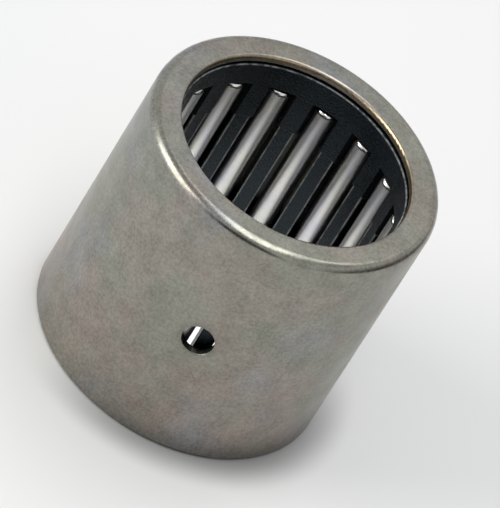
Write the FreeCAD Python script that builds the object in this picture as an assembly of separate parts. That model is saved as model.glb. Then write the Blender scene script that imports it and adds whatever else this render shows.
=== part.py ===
"""Drawn-cup needle roller bearing, 25 x 32 x 30 mm, with open ends and an oil hole.

The bearing stands on one end face. Its axis is +Z, the origin is the centre of the
lower face, and the oil hole faces -Y. All lengths are in millimetres.
"""
import FreeCAD, Part
import math
import os

from FreeCAD import Vector

# Boundary sizes of the bearing
SHAFT_D = 25.0
OUTER_D = 32.0
LENGTH = 30.0

# Rollers
ROLLER_COUNT = 16
ROLLER_D = 2.5
ROLLER_LENGTH = 21.8
ROLLER_END_ROUND = 0.55
FIRST_ROLLER_DEG = 14.6

# Running play on the radius
SHAFT_PLAY = 0.01
RACEWAY_PLAY = 0.03
POCKET_PLAY = 0.06

# How far the cage stands off the lower lip, and a roller off the lower end of its pocket
CAGE_STAND_OFF = 0.05
ROLLER_STAND_OFF = 0.05

# Cup, drawn from sheet, with a lip turned in at each end
LIP_THICKNESS = 0.85
LIP_BORE_R = 12.72
DRAWN_CORNER_R = 1.0
CURLED_CORNER_R = 0.5
LIP_FACE_ROUND = 0.35
LIP_BACK_ROUND = 0.12
RACEWAY_CORNER_R = 0.25
OIL_HOLE_D = 3.5
OIL_HOLE_BREAK = 0.1

# Cage, moulded in one piece: two end rings joined by bars, which hold the rollers at
# their thick heels and are slim webs at the waist between them
CAGE_LENGTH = 28.0
POCKET_LENGTH = 22.2
CAGE_BORE_R = 12.54
CAGE_OUTER_R = 14.8
BAR_OUTER_R = 14.5
RING_EDGE_ROUND = 0.18
HEEL_BORE_R = 12.6
HEEL_LENGTH = 4.7
WAIST_BORE_R = 12.78
RETAINING_GAP = 2.34
HEEL_MOUTH = 2.92
WAIST_WEB = 1.7

# Sizes worked out from those above
OUTER_R = OUTER_D / 2
ROLLER_R = ROLLER_D / 2
PITCH_R = SHAFT_D / 2 + SHAFT_PLAY + ROLLER_R
RACEWAY_R = PITCH_R + ROLLER_R + RACEWAY_PLAY
POCKET_R = ROLLER_R + POCKET_PLAY
CAGE_BOTTOM = LIP_THICKNESS + CAGE_STAND_OFF
CAGE_TOP = CAGE_BOTTOM + CAGE_LENGTH
POCKET_BOTTOM = CAGE_BOTTOM + (CAGE_LENGTH - POCKET_LENGTH) / 2
POCKET_TOP = POCKET_BOTTOM + POCKET_LENGTH
ROLLER_STEP_DEG = 360 / ROLLER_COUNT
# Where the pocket's round side ends at the retaining edge of the bars
RETAINING_R = PITCH_R - math.sqrt(POCKET_R ** 2 - (RETAINING_GAP / 2) ** 2)

AXIS = Vector(0, 0, 1)
CENTRE = Vector(0, 0, 0)
BEYOND = 1.0  # how far a cutting tool reaches past the surface that it cuts


def in_section(r, z):
    """A point of a half section, in the XZ plane."""
    return Vector(r, 0, z)


def in_plan(x, y):
    """A point of a plan outline, in the XY plane."""
    return Vector(x, y, 0)


def outline(corners, place):
    """A flat face whose outline runs through (a, b, corner radius) points."""
    points = [place(a, b) for a, b, _ in corners]
    ends = []
    for i, (_, _, radius) in enumerate(corners):
        corner = points[i]
        back = (points[i - 1] - corner).normalize()
        ahead = (points[(i + 1) % len(points)] - corner).normalize()
        half_angle = back.getAngle(ahead) / 2
        reach = radius / math.tan(half_angle)
        middle = corner + (back + ahead).normalize() * (radius / math.sin(half_angle) - radius)
        ends.append((corner + back * reach, middle, corner + ahead * reach, radius))
    edges = []
    for i, (start, middle, end, radius) in enumerate(ends):
        edges.append(Part.LineSegment(ends[i - 1][2], start).toShape())
        if radius:
            edges.append(Part.Arc(start, middle, end).toShape())
    return Part.Face(Part.Wire(edges))


def turned(corners):
    """A solid of revolution about the bearing's axis, from its half section."""
    return outline(corners, in_section).revolve(CENTRE, AXIS, 360)


def at_angle(shape, degrees):
    """A copy of the shape, turned about the bearing's axis."""
    copy = shape.copy()
    copy.rotate(CENTRE, AXIS, degrees)
    return copy


def oil_hole():
    """The tool for the radial oil hole, with a slightly broken outer edge."""
    hole_r = OIL_HOLE_D / 2
    inner_end = Vector(0, BEYOND - RACEWAY_R, LENGTH / 2)
    bore = Part.makeCylinder(hole_r, OUTER_R - RACEWAY_R + 2 * BEYOND, inner_end, Vector(0, -1, 0))
    edge_start = Vector(0, OIL_HOLE_BREAK - OUTER_R, LENGTH / 2)
    flare = Part.makeCone(hole_r, hole_r + BEYOND, BEYOND, edge_start, Vector(0, -1, 0))
    return bore.fuse(flare)


def cup():
    """The outer ring: a thin drawn cup whose wall is the raceway, with both lips."""
    top_lip = LENGTH - LIP_THICKNESS
    body = turned([
        (LIP_BORE_R, 0, LIP_FACE_ROUND),
        (OUTER_R, 0, CURLED_CORNER_R),
        (OUTER_R, LENGTH, DRAWN_CORNER_R),
        (LIP_BORE_R, LENGTH, LIP_FACE_ROUND),
        (LIP_BORE_R, top_lip, LIP_BACK_ROUND),
        (RACEWAY_R, top_lip, RACEWAY_CORNER_R),
        (RACEWAY_R, LIP_THICKNESS, RACEWAY_CORNER_R),
        (LIP_BORE_R, LIP_THICKNESS, LIP_BACK_ROUND),
    ])
    return body.cut(oil_hole())


def cage_blank():
    """The cage before its pockets are cut: two rings with a thinner sleeve between them."""
    heel_top = POCKET_TOP - HEEL_LENGTH
    heel_bottom = POCKET_BOTTOM + HEEL_LENGTH
    slope = WAIST_BORE_R - HEEL_BORE_R
    return turned([
        (CAGE_BORE_R, CAGE_BOTTOM, RING_EDGE_ROUND),
        (CAGE_OUTER_R, CAGE_BOTTOM, RING_EDGE_ROUND),
        (CAGE_OUTER_R, POCKET_BOTTOM, 0),
        (BAR_OUTER_R, POCKET_BOTTOM, 0),
        (BAR_OUTER_R, POCKET_TOP, 0),
        (CAGE_OUTER_R, POCKET_TOP, 0),
        (CAGE_OUTER_R, CAGE_TOP, RING_EDGE_ROUND),
        (CAGE_BORE_R, CAGE_TOP, RING_EDGE_ROUND),
        (CAGE_BORE_R, POCKET_TOP, 0),
        (HEEL_BORE_R, POCKET_TOP, 0),
        (HEEL_BORE_R, heel_top, 0),
        (WAIST_BORE_R, heel_top - slope, 0),
        (WAIST_BORE_R, heel_bottom + slope, 0),
        (HEEL_BORE_R, heel_bottom, 0),
        (HEEL_BORE_R, POCKET_BOTTOM, 0),
        (CAGE_BORE_R, POCKET_BOTTOM, 0),
    ])


def heel_mouth():
    """The part of a pocket that flares from the retaining edges in to the bore."""
    half_gap = RETAINING_GAP / 2
    flare = (HEEL_MOUTH / 2 - half_gap) / (RETAINING_R - HEEL_BORE_R)
    inner_r = HEEL_BORE_R - BEYOND
    half_inner = half_gap + flare * (RETAINING_R - inner_r)
    face = outline([
        (inner_r, -half_inner, 0),
        (RETAINING_R, -half_gap, 0),
        (PITCH_R, -half_gap, 0),
        (PITCH_R, half_gap, 0),
        (RETAINING_R, half_gap, 0),
        (inner_r, half_inner, 0),
    ], in_plan)
    face.translate(AXIS * POCKET_BOTTOM)
    return face.extrude(AXIS * POCKET_LENGTH)


def waist():
    """The open middle of a pocket, whose sides run along the webs on both sides of it."""
    half_step = math.radians(ROLLER_STEP_DEG / 2)
    inner_r = WAIST_BORE_R - BEYOND
    outer_r = CAGE_OUTER_R + BEYOND
    half_inner, half_outer = [
        r * math.tan(half_step) - WAIST_WEB / 2 / math.cos(half_step) for r in (inner_r, outer_r)
    ]
    face = outline([
        (inner_r, -half_inner, 0),
        (outer_r, -half_outer, 0),
        (outer_r, half_outer, 0),
        (inner_r, half_inner, 0),
    ], in_plan)
    face.translate(AXIS * (POCKET_BOTTOM + HEEL_LENGTH))
    return face.extrude(AXIS * (POCKET_LENGTH - 2 * HEEL_LENGTH))


def pocket():
    """The tool for one pocket, on the +X side: round where the heels hold the roller."""
    seat = Part.makeCylinder(POCKET_R, POCKET_LENGTH, Vector(PITCH_R, 0, POCKET_BOTTOM))
    slot_corner = Vector(PITCH_R, -POCKET_R, POCKET_BOTTOM)
    slot = Part.makeBox(CAGE_OUTER_R + BEYOND - PITCH_R, 2 * POCKET_R, POCKET_LENGTH, slot_corner)
    return seat.multiFuse([slot, heel_mouth(), waist()])


def roller_angles():
    """The angle of each roller about the bearing's axis, in degrees."""
    return [FIRST_ROLLER_DEG + i * ROLLER_STEP_DEG for i in range(ROLLER_COUNT)]


def cage():
    """The cage, with a pocket for each roller."""
    tool = pocket()
    return cage_blank().cut([at_angle(tool, angle) for angle in roller_angles()])


def roller():
    """One needle roller with rounded ends, on the +X side."""
    bottom = POCKET_BOTTOM + ROLLER_STAND_OFF
    top = bottom + ROLLER_LENGTH
    section = outline([
        (0, bottom, 0),
        (ROLLER_R, bottom, ROLLER_END_ROUND),
        (ROLLER_R, top, ROLLER_END_ROUND),
        (0, top, 0),
    ], in_section)
    body = section.revolve(CENTRE, AXIS, 360)
    body.translate(Vector(PITCH_R, 0, 0))
    return body


def save(shape, name):
    """Write one sub-part, after checking that it is a single sound solid."""
    if len(shape.Solids) != 1 or not shape.Solids[0].isValid():
        raise ValueError(f"{name} is not one valid solid")
    shape.Solids[0].exportStep(os.path.join("parts", f"{name}.step"))


def main():
    os.makedirs("parts", exist_ok=True)
    save(cup(), "outer_cup")
    save(cage(), "roller_cage")
    needle = roller()
    for number, angle in enumerate(roller_angles(), start=1):
        save(at_angle(needle, angle), f"roller_{number:02d}")
    print(f"pitch radius {PITCH_R:.3f}, raceway radius {RACEWAY_R:.3f}, gap edge {RETAINING_R:.3f}")


main()
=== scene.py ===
"""Looks for the drawn-cup needle roller bearing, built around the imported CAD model."""
import math

import bmesh
import bpy
from mathutils import Matrix, Vector


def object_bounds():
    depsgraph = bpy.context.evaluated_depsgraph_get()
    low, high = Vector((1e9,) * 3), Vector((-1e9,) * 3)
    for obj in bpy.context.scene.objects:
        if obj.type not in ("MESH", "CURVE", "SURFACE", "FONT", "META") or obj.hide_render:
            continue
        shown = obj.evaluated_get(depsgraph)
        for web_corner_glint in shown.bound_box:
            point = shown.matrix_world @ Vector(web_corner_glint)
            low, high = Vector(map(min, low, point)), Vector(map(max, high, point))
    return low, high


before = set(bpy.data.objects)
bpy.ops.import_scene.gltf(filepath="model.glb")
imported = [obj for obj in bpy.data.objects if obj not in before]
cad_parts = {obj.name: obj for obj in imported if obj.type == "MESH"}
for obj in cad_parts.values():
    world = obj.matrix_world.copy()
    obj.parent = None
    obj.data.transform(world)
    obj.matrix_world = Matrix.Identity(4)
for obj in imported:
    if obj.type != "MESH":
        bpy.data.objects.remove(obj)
cad_low, cad_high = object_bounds()

MM = 0.001

# Bearing sizes that the finishes follow, in millimetres
OUTER_R = 16.0
LENGTH = 30.0
LIP_BORE_R = 12.72
LIP_THICKNESS = 0.85
RACEWAY_R = 15.04
DRAWN_CORNER_R = 1.0
CURLED_CORNER_R = 0.5
LIP_FACE_ROUND = 0.35
OIL_HOLE_R = 1.75
ROLLER_COUNT = 16
FIRST_ROLLER_DEG = 14.6
ROLLER_BOTTOM = 3.85
ROLLER_TOP = 25.65
CAGE_BORE_R = 12.54
CAGE_BOTTOM = 0.9
CAGE_TOP = 28.9
RING_EDGE_ROUND = 0.18
POCKET_LENGTH = 22.2
HEEL_MOUTH = 2.92
WAIST_LENGTH = 12.8
WAIST_BORE_R = 12.78
WEB_HALF = 0.85

# The raceway's brightness as a share of the cup's, for shade and oil
RACEWAY_SHADE = 0.16

# The floor's half width, in metres
FLOOR_HALF = 6.0

# The shade on the floor close to the cup: how far out it reaches, in millimetres, and the
# share of the floor's brightness that it takes away
SHADE_REACH = 4.5
SHADE_DEPTH = 0.55

# The glowing card inside the bore: its radius, its height and the distance from its middle
# over which it fades, in millimetres, and its glow on the near side and on the far side
CARD_R = 12.4
CARD_HEIGHT = 0.05
CARD_FADE = 6.0
CARD_GLOW_NEAR = 1.15
CARD_GLOW_FAR = 0.75

# Sky brightness low down and overhead, and the angles from straight up, in degrees, beyond
# which it is the one and within which it is the other
SKY_LOW = 0.74
SKY_HIGH = 0.40
SKY_LOW_BEYOND = 50.0
SKY_HIGH_WITHIN = 15.0

# Two patches of darker sky: azimuth and elevation, the angles from there to where each is
# fully dark and to where it ends, all in degrees, and the brightness left at its middle
FRONT_PATCH = (-6.0, 10.0, 14.0, 34.0, 0.04)
RIGHT_PATCH = (95.0, -12.0, 22.0, 58.0, 0.15)

# Lights: azimuth and elevation in degrees, distance and size in metres, and power in watts.
# The strip is then moved aside, towards another azimuth.
STRIP = (174.0, 85.0, 0.6, (0.19, 0.72), 1.75)
STRIP_AZIMUTH_ASIDE = 84.0
STRIP_ASIDE = 0.035
WINDOW = (-75.0, 24.0, 0.6, (0.38, 0.48), 2.3)
WINDOW_COLOUR = (1.0, 0.985, 0.95)

# Camera: azimuth 0 looks along +Y, angles in degrees, distance in metres, focal length in millimetres
CAMERA_AZIMUTH = -6.1
CAMERA_ELEVATION = 39.8
CAMERA_ROLL = 32.2
CAMERA_DISTANCE = 0.915
CAMERA_LENS = 635.0
AIM = Vector((1.5, -0.1, 15.0)) * MM

CENTRE = (cad_low + cad_high) / 2


def direction(azimuth, elevation):
    """A unit vector from the object towards that azimuth and elevation."""
    a, e = math.radians(azimuth), math.radians(elevation)
    return Vector((math.sin(a) * math.cos(e), -math.cos(a) * math.cos(e), math.sin(e)))


def add_camera():
    """The camera, rolled so that the bearing's axis leans to the right."""
    data = bpy.data.cameras.new("camera")
    data.lens = CAMERA_LENS
    data.clip_start = 0.05
    data.clip_end = 20.0
    camera = bpy.data.objects.new("camera", data)
    bpy.context.scene.collection.objects.link(camera)
    back = direction(CAMERA_AZIMUTH, CAMERA_ELEVATION)
    turn = (-back).to_track_quat("-Z", "Y").to_matrix().to_4x4()
    roll = Matrix.Rotation(math.radians(CAMERA_ROLL), 4, "Z")
    camera.matrix_world = Matrix.Translation(AIM + back * CAMERA_DISTANCE) @ turn @ roll
    bpy.context.scene.camera = camera


def area_light(name, place, colour=(1, 1, 1), aside=(0, 0, 0)):
    """A soft rectangular light facing the bearing's centre, or moved aside from there."""
    azimuth, elevation, distance, size, power = place
    data = bpy.data.lights.new(name, "AREA")
    data.shape = "RECTANGLE"
    data.size, data.size_y = size
    data.energy = power
    data.color = colour
    light = bpy.data.objects.new(name, data)
    bpy.context.scene.collection.objects.link(light)
    back = direction(azimuth, elevation)
    light.location = CENTRE + back * distance + Vector(aside)
    light.rotation_mode = "QUATERNION"
    light.rotation_quaternion = (-back).to_track_quat("-Z", "Y")


class Finish:
    """A material in the making: its node tree, with short ways to add nodes to it."""

    def __init__(self, name, metallic, roughness, colour):
        self.material = bpy.data.materials.new(name)
        self.material.use_nodes = True
        self.tree = self.material.node_tree
        self.shader = self.tree.nodes["Principled BSDF"]
        self.shader.inputs["Metallic"].default_value = metallic
        self.shader.inputs["Roughness"].default_value = roughness
        self.shader.inputs["Base Color"].default_value = (*colour, 1)
        where = self.node("ShaderNodeTexCoord").outputs["Object"]
        self.where = self.vector("SCALE", where, scale=1 / MM)
        axes = self.node("ShaderNodeSeparateXYZ", {0: self.where}).outputs
        self.x, self.y, self.z = axes
        flat = self.node("ShaderNodeCombineXYZ", {0: self.x, 1: self.y}).outputs[0]
        self.radius = self.vector("LENGTH", flat)
        self.unrolled = self.vector("ADD", self.vector("NORMALIZE", flat), self.upright())

    def node(self, kind, inputs=None, **settings):
        """A new node with its settings, and with values or links in its inputs."""
        node = self.tree.nodes.new(kind)
        for key, value in settings.items():
            setattr(node, key, value)
        for key, value in (inputs or {}).items():
            self.give(node.inputs[key], value)
        return node

    def give(self, socket, value):
        """Link the socket to another one, or set its constant value."""
        if isinstance(value, bpy.types.NodeSocket):
            self.tree.links.new(value, socket)
        else:
            socket.default_value = value

    def vector(self, operation, a, b=None, scale=None):
        """The result of a vector operation."""
        node = self.node("ShaderNodeVectorMath", {0: a}, operation=operation)
        if b is not None:
            self.give(node.inputs[1], b)
        if scale is not None:
            self.give(node.inputs["Scale"], scale)
        return node.outputs["Value" if operation == "LENGTH" else "Vector"]

    def math(self, operation, a, b=0.0):
        """The result of an operation on one or two numbers."""
        return self.node("ShaderNodeMath", {0: a, 1: b}, operation=operation).outputs[0]

    def product(self, *values):
        """The values multiplied together."""
        result = values[0]
        for value in values[1:]:
            result = self.math("MULTIPLY", result, value)
        return result

    def total(self, *values):
        """The values added together."""
        result = values[0]
        for value in values[1:]:
            result = self.math("ADD", result, value)
        return result

    def ramp(self, value, low, high, out_low=0.0, out_high=1.0):
        """The value carried smoothly from low..high to out_low..out_high."""
        places = {0: value, 1: low, 2: high, 3: out_low, 4: out_high}
        return self.node("ShaderNodeMapRange", places, interpolation_type="SMOOTHSTEP").outputs[0]

    def noise(self, size, detail=2.0, stretch=(1, 1, 1), offset=0.0, where=None, roughness=0.5):
        """Noise whose features are about this many millimetres across."""
        place = self.vector("MULTIPLY", where or self.where, tuple(s / size for s in stretch))
        if offset:
            place = self.vector("ADD", place, (offset, offset, offset))
        inputs = {"Vector": place, "Scale": 1.0, "Detail": detail, "Roughness": roughness}
        return self.node("ShaderNodeTexNoise", inputs).outputs[0]

    def mix(self, factor, a, b, blend="MIX"):
        """Colour a carried towards colour b by the factor."""
        node = self.node("ShaderNodeMix", data_type="RGBA", blend_type=blend)
        self.give(node.inputs[0], factor)
        self.give(node.inputs[6], (*a, 1) if isinstance(a, tuple) else a)
        self.give(node.inputs[7], (*b, 1) if isinstance(b, tuple) else b)
        return node.outputs[2]

    def grey(self, level):
        """A grey of that level."""
        return self.node("ShaderNodeCombineColor", {0: level, 1: level, 2: level}).outputs[0]

    def scaled(self, colour, factor):
        """The colour, made lighter or darker by a factor."""
        return self.mix(1.0, colour, self.grey(factor), "MULTIPLY")

    def upright(self):
        """The height alone, as a vector."""
        return self.node("ShaderNodeCombineXYZ", {2: self.z}).outputs[0]

    def hole_distance(self):
        """How far a point is from the oil hole's axis, in millimetres, with the far wall left out."""
        above = self.math("SUBTRACT", self.z, LENGTH / 2)
        behind = self.ramp(self.y, -1.0, 1.0, 0.0, 40.0)
        offset = self.node("ShaderNodeCombineXYZ", {0: self.x, 1: behind, 2: above})
        return self.vector("LENGTH", offset.outputs[0])

    def pocket_marks(self):
        """Two masks on the cage: painted shade and oil in its pockets' insides, and painted highlights on
        its webs' front corners.

        The small numbers are the masks' soft edges, in millimetres.
        """
        first = math.radians(FIRST_ROLLER_DEG)
        half_step = math.pi / ROLLER_COUNT
        angle = self.math("SUBTRACT", self.math("ARCTAN2", self.y, self.x), first)
        from_roller = self.math("PINGPONG", angle, half_step)
        aside = self.product(from_roller, self.radius)
        from_web = self.product(self.math("SUBTRACT", half_step, from_roller), self.radius)
        middle = (CAGE_BOTTOM + CAGE_TOP) / 2
        from_middle = self.math("ABSOLUTE", self.math("SUBTRACT", self.z, middle))
        along = self.ramp(from_middle, POCKET_LENGTH / 2 + 0.04, POCKET_LENGTH / 2 - 0.02)
        waist = self.ramp(from_middle, WAIST_LENGTH / 2 + 0.05, WAIST_LENGTH / 2 - 0.05)
        depth = self.math("SUBTRACT", self.radius, WAIST_BORE_R)
        into_web = self.math("SUBTRACT", WEB_HALF, from_web)
        mouth = self.product(self.ramp(aside, HEEL_MOUTH / 2 + 0.12, HEEL_MOUTH / 2), along)
        side = self.product(self.ramp(into_web, 0.09, 0.03), self.ramp(depth, 0.07, 0.27), waist)
        web_corner_glint = self.product(self.ramp(into_web, 0.19, 0.09), self.ramp(depth, 0.22, 0.12), waist)
        return self.math("MAXIMUM", mouth, side), web_corner_glint

    def bump(self, height, depth_mm, strength, below=None):
        """A bumpy normal from a height of that depth, on top of another one if given."""
        inputs = {"Height": height, "Distance": depth_mm * MM, "Strength": strength}
        if below is not None:
            inputs["Normal"] = below
        return self.node("ShaderNodeBump", inputs).outputs[0]

    def set(self, name, value):
        """Set or link one of the shader's inputs."""
        self.give(self.shader.inputs[name], value)


def round_mask(finish, corner_r, corner_z, r_sign, z_sign, reach):
    """One on the middle of a rounded edge, from the round's centre and its outward signs."""
    out = finish.math("MULTIPLY", finish.math("SUBTRACT", finish.radius, corner_r), r_sign)
    up = finish.math("MULTIPLY", finish.math("SUBTRACT", finish.z, corner_z), z_sign)
    return finish.ramp(finish.math("MINIMUM", out, up), 0.0, reach)


def cup_steel():
    """Satin drawn steel: faint mottling, fine grain, drawing lines, bright edge wear, and painted shade
    and oil in the raceway.
    """
    f = Finish("cup_steel", 1.0, 0.32, (0.27, 0.26, 0.24))
    olive, brown, blue = (0.264, 0.265, 0.224), (0.292, 0.253, 0.225), (0.266, 0.264, 0.262)
    patches = f.ramp(f.noise(6.0, 3.0), 0.38, 0.62, 0.0, 0.65)
    handled = f.total(patches, f.ramp(f.z, 17.0, 3.0, 0.0, 0.4))
    colour = f.mix(handled, olive, brown)
    colour = f.mix(f.ramp(f.noise(11.0, 2.0, offset=31.0), 0.5, 0.7), colour, blue)
    grain = f.noise(0.32, 3.0, offset=7.0, roughness=0.65)
    cloud = f.noise(2.4, 4.0, offset=13.0, roughness=0.6)
    lines = f.noise(1.0, 2.0, (60.0, 60.0, 0.05), where=f.unrolled)
    straw = f.ramp(f.radius, LIP_BORE_R + 0.28, LIP_BORE_R, 0.0, 0.75)
    straw = f.product(straw, f.ramp(f.z, LENGTH - LIP_THICKNESS - 0.3, LENGTH - 0.1))
    colour = f.mix(straw, colour, (0.42, 0.315, 0.19))
    drawn_r, drawn_z = OUTER_R - DRAWN_CORNER_R, LENGTH - DRAWN_CORNER_R
    curled_r = OUTER_R - CURLED_CORNER_R
    lip_r, lip_z = LIP_BORE_R + LIP_FACE_ROUND, LENGTH - LIP_FACE_ROUND
    edge = f.total(
        round_mask(f, drawn_r, drawn_z, 1, 1, 0.5),
        round_mask(f, curled_r, CURLED_CORNER_R, 1, -1, 0.3),
        f.product(round_mask(f, lip_r, lip_z, -1, 1, 0.2), 0.3),
    )
    edge = f.product(edge, f.ramp(cloud, 0.35, 0.62, 0.35, 1.0))
    from_hole = f.hole_distance()
    stain = f.ramp(from_hole, OIL_HOLE_R + 0.05, OIL_HOLE_R + 0.9, 0.9, 1.0)
    shade = f.total(
        f.ramp(grain, 0.3, 0.7, 0.84, 1.16),
        f.ramp(cloud, 0.3, 0.7, -0.1, 0.1),
        f.ramp(lines, 0.3, 0.7, -0.02, 0.02),
        f.product(edge, 0.16),
    )
    # Painted shade and oil: below the top lip, everything inside the raceway's radius, the lower lip
    # included, is darkened to RACEWAY_SHADE.
    inside = f.ramp(f.radius, RACEWAY_R + 0.3, RACEWAY_R + 0.1, 1.0, RACEWAY_SHADE)
    below_lip = f.ramp(f.z, LENGTH - LIP_THICKNESS, LENGTH - LIP_THICKNESS - 0.2)
    inside = f.mix(below_lip, (1.0, 1.0, 1.0), f.grey(inside))
    colour = f.mix(1.0, colour, inside, "MULTIPLY")
    f.set("Base Color", f.scaled(colour, f.product(shade, stain)))
    rough = f.total(
        f.ramp(f.noise(3.4, 3.0, offset=51.0), 0.3, 0.7, 0.30, 0.37),
        f.ramp(grain, 0.3, 0.7, -0.02, 0.02),
        f.product(edge, -0.12),
    )
    f.set("Roughness", rough)
    f.set("Normal", f.bump(grain, 0.006, 0.35, f.bump(lines, 0.004, 0.3)))
    return f.material


def roller_steel():
    """Ground roller steel: fine grinding marks across each roller, and polished ends lightened into
    painted highlights.
    """
    f = Finish("roller_steel", 1.0, 0.38, (0.53, 0.53, 0.51))
    marks = f.noise(1.0, 2.0, (0.6, 0.6, 14.0))
    cloud = f.noise(1.8, 3.0, (1, 1, 0.35), offset=17.0)
    middle = (ROLLER_BOTTOM + ROLLER_TOP) / 2
    from_middle = f.math("ABSOLUTE", f.math("SUBTRACT", f.z, middle))
    from_end = f.math("SUBTRACT", (ROLLER_TOP - ROLLER_BOTTOM) / 2, from_middle)
    end = f.ramp(from_end, 0.6, 0.3)
    warm, cool = (0.61, 0.605, 0.56), (0.56, 0.56, 0.59)
    colour = f.mix(f.ramp(cloud, 0.35, 0.65), warm, cool)
    # Painted highlights: the roller ends are lightened nearly to white so that they shine as glints;
    # their lower roughness is the real polish.
    colour = f.mix(end, colour, (0.95, 0.94, 0.9))
    shade = f.total(f.ramp(marks, 0.3, 0.7, 0.96, 1.03), f.ramp(cloud, 0.3, 0.7, -0.04, 0.04))
    f.set("Base Color", f.scaled(colour, shade))
    rough = f.total(f.ramp(cloud, 0.3, 0.7, 0.29, 0.36), f.product(end, -0.14))
    f.set("Roughness", rough)
    f.set("Normal", f.bump(marks, 0.004, 0.3))
    return f.material


def cage_plastic():
    """Black moulded plastic: fine speckle, scuffs, painted highlights on ring edges and web corners,
    painted shade and oil in pockets.
    """
    f = Finish("cage_plastic", 0.0, 0.4, (0.005, 0.007, 0.009))
    speckle = f.noise(0.24, 3.0, roughness=0.7)
    flow = f.noise(2.5, 3.0, (1, 1, 0.5), offset=23.0)
    scuff = f.product(f.ramp(speckle, 0.5, 0.72), f.ramp(flow, 0.36, 0.62))
    # Painted highlights: the ring's inner edges at top and bottom are lightened to grey, standing in for
    # glints; they are glossier too.
    ring_edge_highlight = f.total(
        round_mask(f, CAGE_BORE_R + RING_EDGE_ROUND, CAGE_TOP - RING_EDGE_ROUND, -1, 1, 0.1),
        round_mask(f, CAGE_BORE_R + RING_EDGE_ROUND, CAGE_BOTTOM + RING_EDGE_ROUND, -1, -1, 0.1),
    )
    ring_edge_highlight = f.product(ring_edge_highlight, f.ramp(f.noise(0.8, 2.0, offset=41.0), 0.35, 0.6, 0.2, 1.0))
    colour = f.mix(f.ramp(flow, 0.35, 0.65), (0.0008, 0.002, 0.0035), (0.0016, 0.003, 0.005))
    colour = f.mix(f.product(scuff, 0.6), colour, (0.03, 0.034, 0.04))
    shaded, web_corner_glint = f.pocket_marks()
    # Painted shade and oil: the pocket mouths and the slits' sides are darkened to a quarter, and their
    # specular is turned down.
    colour = f.scaled(colour, f.ramp(shaded, 0.0, 1.0, 1.0, 0.25))
    # Painted highlights: thin grey lines on the webs' front corners, standing in for glints on their
    # edges.
    web_corner_highlight = f.product(web_corner_glint, f.ramp(f.noise(1.2, 2.0, offset=61.0), 0.3, 0.6, 0.35, 1.0))
    colour = f.mix(web_corner_highlight, colour, (0.24, 0.245, 0.25))
    f.set("Base Color", f.mix(ring_edge_highlight, colour, (0.22, 0.22, 0.22)))
    f.set("Specular IOR Level", f.ramp(shaded, 0.0, 1.0, 0.27, 0.05))
    f.set("Specular Tint", (0.72, 0.92, 1.0, 1))
    rough = f.total(
        f.ramp(speckle, 0.3, 0.7, 0.24, 0.36),
        f.ramp(flow, 0.3, 0.7, -0.03, 0.03),
        f.product(ring_edge_highlight, -0.16),
    )
    f.set("Roughness", rough)
    f.set("Normal", f.bump(speckle, 0.05, 0.9))
    return f.material


def floor_paint():
    """Pale studio paper with a barely visible tooth, a painted cool cast towards -x and a painted shadow
    at the cup's front right.
    """
    f = Finish("floor_paint", 0.0, 0.6, (0.75, 0.755, 0.75))
    # Painted cool light: towards -x the floor is bluer and darker.
    cool = f.ramp(f.x, -15.0, -90.0)
    colour = f.mix(cool, (0.80, 0.805, 0.80), (0.68, 0.70, 0.77))
    front_right = f.total(f.product(f.x, 0.6), f.product(f.y, -0.8))
    close = f.ramp(f.radius, OUTER_R + SHADE_REACH, OUTER_R, 0.0, SHADE_DEPTH)
    shade = f.math("SUBTRACT", 1.0, f.product(close, f.ramp(front_right, 0.0, 14.0)))
    f.set("Base Color", f.scaled(colour, shade))
    tooth = f.noise(0.5, 2.0)
    f.set("Normal", f.bump(tooth, 0.01, 0.2))
    return f.material


def add_floor():
    """The studio floor, as one flat sheet at height zero."""
    data = bpy.data.meshes.new("floor")
    half = FLOOR_HALF
    corners = [(-half, -half, 0), (half, -half, 0), (half, half, 0), (-half, half, 0)]
    data.from_pydata(corners, [], [(0, 1, 2, 3)])
    floor = bpy.data.objects.new("floor", data)
    bpy.context.scene.collection.objects.link(floor)
    data.materials.append(floor_paint())


def add_bore_card():
    """A pale glowing card on the floor inside the bore, for light that comes in from below."""
    mesh = bmesh.new()
    bmesh.ops.create_circle(mesh, cap_ends=True, segments=96, radius=CARD_R * MM)
    data = bpy.data.meshes.new("bore_card")
    mesh.to_mesh(data)
    mesh.free()
    card = bpy.data.objects.new("bore_card", data)
    card.location.z = CARD_HEIGHT * MM
    bpy.context.scene.collection.objects.link(card)
    finish = Finish("bore_card", 0.0, 0.6, (0.8, 0.8, 0.8))
    finish.set("Emission Color", (1.0, 1.0, 1.0, 1))
    glow = finish.ramp(finish.y, -CARD_FADE, CARD_FADE, CARD_GLOW_NEAR, CARD_GLOW_FAR)
    finish.set("Emission Strength", glow)
    data.materials.append(finish.material)


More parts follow.
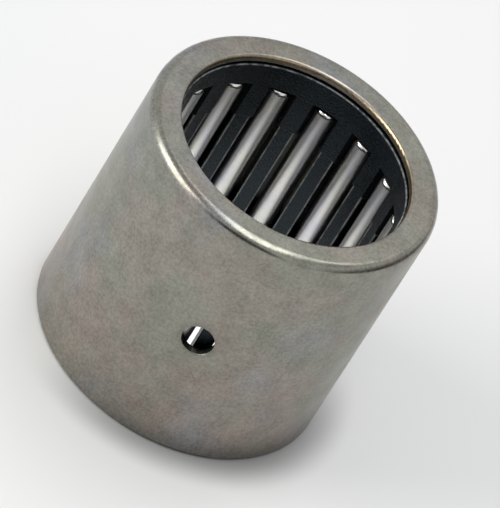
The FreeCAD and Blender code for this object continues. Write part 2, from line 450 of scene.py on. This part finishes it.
def add_world():
    """A soft studio: bright low down, darker overhead, in front and low down on the right."""
    world = bpy.data.worlds.new("studio")
    world.use_nodes = True
    tree = world.node_tree
    background = tree.nodes["Background"]
    background.inputs["Color"].default_value = (0.98, 0.99, 1.0, 1)
    where = tree.nodes.new("ShaderNodeTexCoord").outputs["Generated"]

    def faded(target, start, end, low, high):
        """A level that goes from low to high as the cosine of the angle to target grows."""
        along = tree.nodes.new("ShaderNodeVectorMath")
        along.operation = "DOT_PRODUCT"
        tree.links.new(where, along.inputs[0])
        along.inputs[1].default_value = target
        ramp = tree.nodes.new("ShaderNodeMapRange")
        ramp.interpolation_type = "SMOOTHSTEP"
        tree.links.new(along.outputs["Value"], ramp.inputs[0])
        for place, value in enumerate((start, end, low, high), start=1):
            ramp.inputs[place].default_value = value
        return ramp.outputs[0]

    def cosine(degrees):
        return math.cos(math.radians(degrees))

    overhead = Vector((0, 0, 1))
    level = faded(overhead, cosine(SKY_LOW_BEYOND), cosine(SKY_HIGH_WITHIN), SKY_LOW, SKY_HIGH)
    for azimuth, elevation, core, edge, left_over in (FRONT_PATCH, RIGHT_PATCH):
        patch = faded(direction(azimuth, elevation), cosine(edge), cosine(core), 1.0, left_over)
        times = tree.nodes.new("ShaderNodeMath")
        times.operation = "MULTIPLY"
        tree.links.new(level, times.inputs[0])
        tree.links.new(patch, times.inputs[1])
        level = times.outputs[0]
    tree.links.new(level, background.inputs["Strength"])
    bpy.context.scene.world = world


def wear(node, material):
    """Give a CAD node its finish through its object's material slot."""
    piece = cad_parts[node]
    if not piece.material_slots:
        piece.data.materials.append(material)
    for place in piece.material_slots:
        place.link = "OBJECT"
        place.material = material


add_camera()
add_world()
add_floor()
add_bore_card()
area_light("overhead_strip", STRIP, aside=direction(STRIP_AZIMUTH_ASIDE, 0) * STRIP_ASIDE)
area_light("left_window", WINDOW, WINDOW_COLOUR)

wear("outer_cup", cup_steel())
wear("roller_cage", cage_plastic())
roller_finish = roller_steel()
for number in range(1, ROLLER_COUNT + 1):
    wear(f"roller_{number:02d}", roller_finish)

bpy.context.scene.view_settings.view_transform = "Standard"
